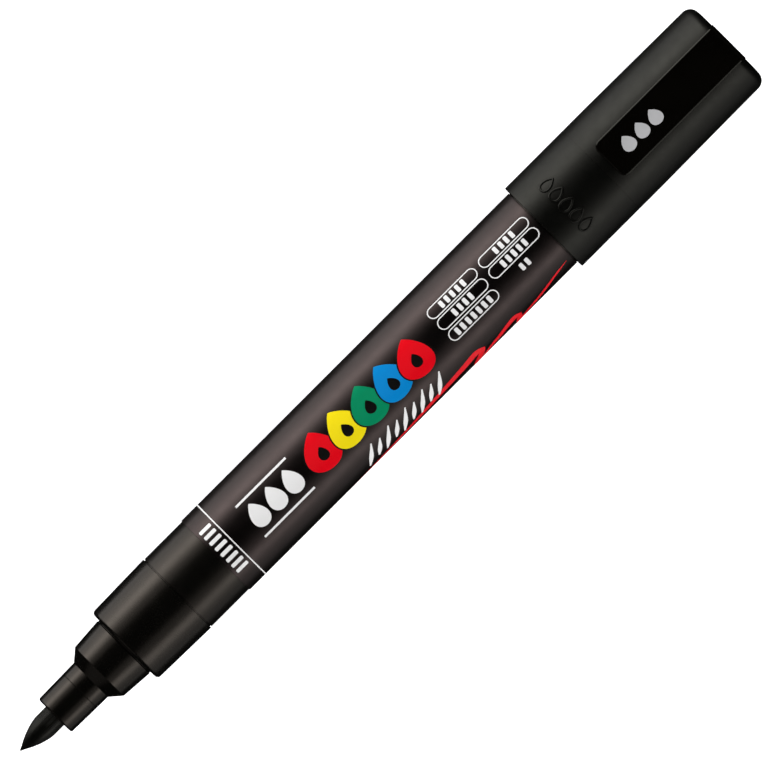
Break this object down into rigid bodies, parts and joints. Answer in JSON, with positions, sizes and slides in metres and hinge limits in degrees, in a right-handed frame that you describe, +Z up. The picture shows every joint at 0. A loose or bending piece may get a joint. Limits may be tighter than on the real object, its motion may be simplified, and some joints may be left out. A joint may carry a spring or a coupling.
{
  "type": "brush pen",
  "caption": "Black pump-action paint marker with a tapered filament brush tip, printed barrel and a clip cap posted on its rear end.",
  "frame": {"origin": "under the middle of the pen's length, on the lowest line of the cap, with the pen lying on its back", "axes": "+X along the pen from the brush to the crown of the cap, +Z up through the pocket clip"},
  "size_m": [0.1442, 0.0158, 0.0176],
  "materials": {
    "satin_black": "satin moulded plastic, fine mould grain",
    "cap_black": "satin moulded plastic, fine mould grain",
    "clip_black": "polished moulded plastic",
    "film_black": "printed shrink film, soft gloss",
    "brush_black": "nylon filaments, set with black paint",
    "white_plastic": "natural moulded plastic",
    "wick_fibre": "bonded fibre",
    "seal_rubber": "matt rubber",
    "spring_steel": "drawn steel wire",
    "ball_steel": "polished steel",
    "print_white": "screen-printed ink",
    "print_silver": "screen-printed metallic ink",
    "print_red": "screen-printed ink",
    "print_blue": "screen-printed ink",
    "print_green": "screen-printed ink",
    "print_yellow": "screen-printed ink",
    "print_black": "screen-printed ink"
  },
  "bodies": {
    "barrel": {"barrel": "satin_black", "front_section": "satin_black", "neck_gasket": "seal_rubber", "label_film": "film_black", "rear_plug": "satin_black", "valve_body": "white_plastic", "valve_seat": "seal_rubber", "valve_spring": "spring_steel", "spring_retainer": "white_plastic"},
    "tip": {"tip_sleeve": "satin_black", "brush_nib": "brush_black", "brush_ferrule": "white_plastic", "feed_wick": "wick_fibre", "feed_plug": "white_plastic", "tail_seal": "seal_rubber"},
    "valve": {"valve_rod": "white_plastic"},
    "ball": {"mixing_ball": "ball_steel"},
    "cap": {"cap_shell": "cap_black", "inner_cap": "white_plastic", "clip_root": "clip_black"},
    "clip": {"clip_tongue": "clip_black"}
  },
  "joints": [
    {"name": "tip_pump", "type": "slide", "parent": "barrel", "child": "tip", "axis": [1, 0, 0], "range_m": [0, 0.002], "stiffness_N_per_m": 400},
    {"name": "valve_slide", "type": "slide", "parent": "barrel", "child": "valve", "axis": [1, 0, 0], "range_m": [0, 0.002], "deforming": ["valve_spring"]},
    {"name": "ball_roll", "type": "slide", "parent": "barrel", "child": "ball", "axis": [1, 0, 0], "range_m": [0, 0.0615]},
    {"name": "cap_slide", "type": "slide", "parent": "barrel", "child": "cap", "axis": [1, 0, 0], "range_m": [0, 0.04]},
    {"name": "clip_flex", "type": "hinge", "parent": "cap", "child": "clip", "pos_m": [0.06686, 0, 0.01757], "axis": [0, 1, 0], "range_deg": [0, 6], "stiffness_Nm_per_rad": 0.6}
  ],
  "couplings": [
    {"joint": "valve_slide", "follows": "tip_pump", "ratio": 1}
  ]
}
